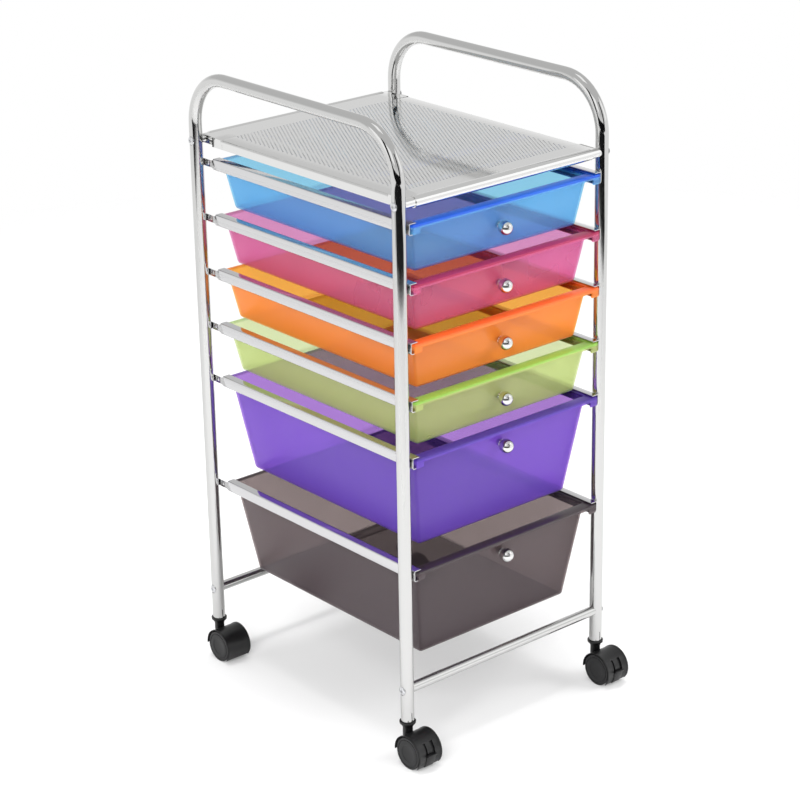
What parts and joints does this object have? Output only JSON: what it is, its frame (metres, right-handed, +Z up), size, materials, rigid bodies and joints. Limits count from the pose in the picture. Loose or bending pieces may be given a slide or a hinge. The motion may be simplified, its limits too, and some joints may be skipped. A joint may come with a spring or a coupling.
{
  "type": "rolling drawer cart",
  "caption": "Rolling storage cart with a chrome tube frame, translucent coloured drawers on channel rails, a perforated top tray and twin-wheel castors.",
  "frame": {"origin": "on the floor, under the middle of the outline seen from above, with the castors trailing to the front", "axes": "+Z up, -Y is the front where the drawers open, X across the width"},
  "size_m": [0.3496, 0.4302, 0.781],
  "materials": {
    "chrome_frame": "bright chrome plate on steel tube",
    "chrome_rail": "bright chrome plate on folded sheet",
    "chrome_tray": "bright chrome plate on perforated sheet",
    "screw_steel": "plated steel",
    "chrome_knob": "polished chrome",
    "blue_plastic": "translucent moulded polypropylene, satin",
    "pink_plastic": "translucent moulded polypropylene, satin",
    "orange_plastic": "translucent moulded polypropylene, satin",
    "green_plastic": "translucent moulded polypropylene, satin",
    "purple_plastic": "translucent moulded polypropylene, satin",
    "grey_plastic": "translucent moulded polypropylene, satin",
    "black_plastic": "moulded nylon, satin",
    "wheel_plastic": "moulded nylon, dull",
    "axle_steel": "drawn steel pin"
  },
  "bodies": {
    "frame": {"left_frame_tube": "chrome_frame", "right_frame_tube": "chrome_frame", "left_rail_1": "chrome_rail", "right_rail_1": "chrome_rail", "left_rail_2": "chrome_rail", "right_rail_2": "chrome_rail", "left_rail_3": "chrome_rail", "right_rail_3": "chrome_rail", "left_rail_4": "chrome_rail", "right_rail_4": "chrome_rail", "left_rail_5": "chrome_rail", "right_rail_5": "chrome_rail", "left_rail_6": "chrome_rail", "right_rail_6": "chrome_rail", "top_tray": "chrome_tray", "front_lower_bar": "chrome_frame", "rear_lower_bar": "chrome_frame", "front_left_tray_screw": "screw_steel", "front_left_bar_screw": "screw_steel", "rear_left_tray_screw": "screw_steel", "rear_left_bar_screw": "screw_steel", "front_right_tray_screw": "screw_steel", "front_right_bar_screw": "screw_steel", "rear_right_tray_screw": "screw_steel", "rear_right_bar_screw": "screw_steel", "front_left_castor_socket": "black_plastic", "front_right_castor_socket": "black_plastic", "rear_left_castor_socket": "black_plastic", "rear_right_castor_socket": "black_plastic"},
    "drawer_1": {"drawer_1": "blue_plastic", "knob_1": "chrome_knob"},
    "drawer_2": {"drawer_2": "pink_plastic", "knob_2": "chrome_knob"},
    "drawer_3": {"drawer_3": "orange_plastic", "knob_3": "chrome_knob"},
    "drawer_4": {"drawer_4": "green_plastic", "knob_4": "chrome_knob"},
    "drawer_5": {"drawer_5": "purple_plastic", "knob_5": "chrome_knob"},
    "drawer_6": {"drawer_6": "grey_plastic", "knob_6": "chrome_knob"},
    "front_left_castor_swivel": {"front_left_castor_hood": "black_plastic", "front_left_castor_axle": "axle_steel"},
    "front_left_castor_left_wheel": {"front_left_castor_left_wheel": "wheel_plastic"},
    "front_left_castor_right_wheel": {"front_left_castor_right_wheel": "wheel_plastic"},
    "front_left_castor_brake_lever": {"front_left_castor_brake_lever": "black_plastic"},
    "front_right_castor_swivel": {"front_right_castor_hood": "black_plastic", "front_right_castor_axle": "axle_steel"},
    "front_right_castor_left_wheel": {"front_right_castor_left_wheel": "wheel_plastic"},
    "front_right_castor_right_wheel": {"front_right_castor_right_wheel": "wheel_plastic"},
    "front_right_castor_brake_lever": {"front_right_castor_brake_lever": "black_plastic"},
    "rear_left_castor_swivel": {"rear_left_castor_hood": "black_plastic", "rear_left_castor_axle": "axle_steel"},
    "rear_left_castor_left_wheel": {"rear_left_castor_left_wheel": "wheel_plastic"},
    "rear_left_castor_right_wheel": {"rear_left_castor_right_wheel": "wheel_plastic"},
    "rear_right_castor_swivel": {"rear_right_castor_hood": "black_plastic", "rear_right_castor_axle": "axle_steel"},
    "rear_right_castor_left_wheel": {"rear_right_castor_left_wheel": "wheel_plastic"},
    "rear_right_castor_right_wheel": {"rear_right_castor_right_wheel": "wheel_plastic"}
  },
  "joints": [
    {"name": "drawer_1_slide", "type": "slide", "parent": "frame", "child": "drawer_1", "axis": [0, -1, 0], "range_m": [0, 0.3]},
    {"name": "drawer_2_slide", "type": "slide", "parent": "frame", "child": "drawer_2", "axis": [0, -1, 0], "range_m": [0, 0.3]},
    {"name": "drawer_3_slide", "type": "slide", "parent": "frame", "child": "drawer_3", "axis": [0, -1, 0], "range_m": [0, 0.3]},
    {"name": "drawer_4_slide", "type": "slide", "parent": "frame", "child": "drawer_4", "axis": [0, -1, 0], "range_m": [0, 0.3]},
    {"name": "drawer_5_slide", "type": "slide", "parent": "frame", "child": "drawer_5", "axis": [0, -1, 0], "range_m": [0, 0.3]},
    {"name": "drawer_6_slide", "type": "slide", "parent": "frame", "child": "drawer_6", "axis": [0, -1, 0], "range_m": [0, 0.3]},
    {"name": "front_left_castor_swivel_turn", "type": "hinge", "parent": "frame", "child": "front_left_castor_swivel", "pos_m": [-0.157, -0.1699, 0.045], "axis": [0, 0, 1], "continuous": true},
    {"name": "front_left_castor_left_wheel_spin", "type": "hinge", "parent": "front_left_castor_swivel", "child": "front_left_castor_left_wheel", "pos_m": [-0.167, -0.1889, 0.02], "axis": [1, 0, 0], "continuous": true},
    {"name": "front_left_castor_right_wheel_spin", "type": "hinge", "parent": "front_left_castor_swivel", "child": "front_left_castor_right_wheel", "pos_m": [-0.147, -0.1889, 0.02], "axis": [1, 0, 0], "continuous": true},
    {"name": "front_left_castor_brake_lever_hinge", "type": "hinge", "parent": "front_left_castor_swivel", "child": "front_left_castor_brake_lever", "pos_m": [-0.157, -0.20516, 0.03683], "axis": [-1, 0, 0], "range_deg": [0, 12]},
    {"name": "front_right_castor_swivel_turn", "type": "hinge", "parent": "frame", "child": "front_right_castor_swivel", "pos_m": [0.157, -0.1699, 0.045], "axis": [0, 0, 1], "continuous": true},
    {"name": "front_right_castor_left_wheel_spin", "type": "hinge", "parent": "front_right_castor_swivel", "child": "front_right_castor_left_wheel", "pos_m": [0.147, -0.1889, 0.02], "axis": [1, 0, 0], "continuous": true},
    {"name": "front_right_castor_right_wheel_spin", "type": "hinge", "parent": "front_right_castor_swivel", "child": "front_right_castor_right_wheel", "pos_m": [0.167, -0.1889, 0.02], "axis": [1, 0, 0], "continuous": true},
    {"name": "front_right_castor_brake_lever_hinge", "type": "hinge", "parent": "front_right_castor_swivel", "child": "front_right_castor_brake_lever", "pos_m": [0.157, -0.20516, 0.03683], "axis": [-1, 0, 0], "range_deg": [0, 12]},
    {"name": "rear_left_castor_swivel_turn", "type": "hinge", "parent": "frame", "child": "rear_left_castor_swivel", "pos_m": [-0.157, 0.2051, 0.045], "axis": [0, 0, 1], "continuous": true},
    {"name": "rear_left_castor_left_wheel_spin", "type": "hinge", "parent": "rear_left_castor_swivel", "child": "rear_left_castor_left_wheel", "pos_m": [-0.167, 0.1861, 0.02], "axis": [1, 0, 0], "continuous": true},
    {"name": "rear_left_castor_right_wheel_spin", "type": "hinge", "parent": "rear_left_castor_swivel", "child": "rear_left_castor_right_wheel", "pos_m": [-0.147, 0.1861, 0.02], "axis": [1, 0, 0], "continuous": true},
    {"name": "rear_right_castor_swivel_turn", "type": "hinge", "parent": "frame", "child": "rear_right_castor_swivel", "pos_m": [0.157, 0.2051, 0.045], "axis": [0, 0, 1], "continuous": true},
    {"name": "rear_right_castor_left_wheel_spin", "type": "hinge", "parent": "rear_right_castor_swivel", "child": "rear_right_castor_left_wheel", "pos_m": [0.147, 0.1861, 0.02], "axis": [1, 0, 0], "continuous": true},
    {"name": "rear_right_castor_right_wheel_spin", "type": "hinge", "parent": "rear_right_castor_swivel", "child": "rear_right_castor_right_wheel", "pos_m": [0.167, 0.1861, 0.02], "axis": [1, 0, 0], "continuous": true}
  ]
}
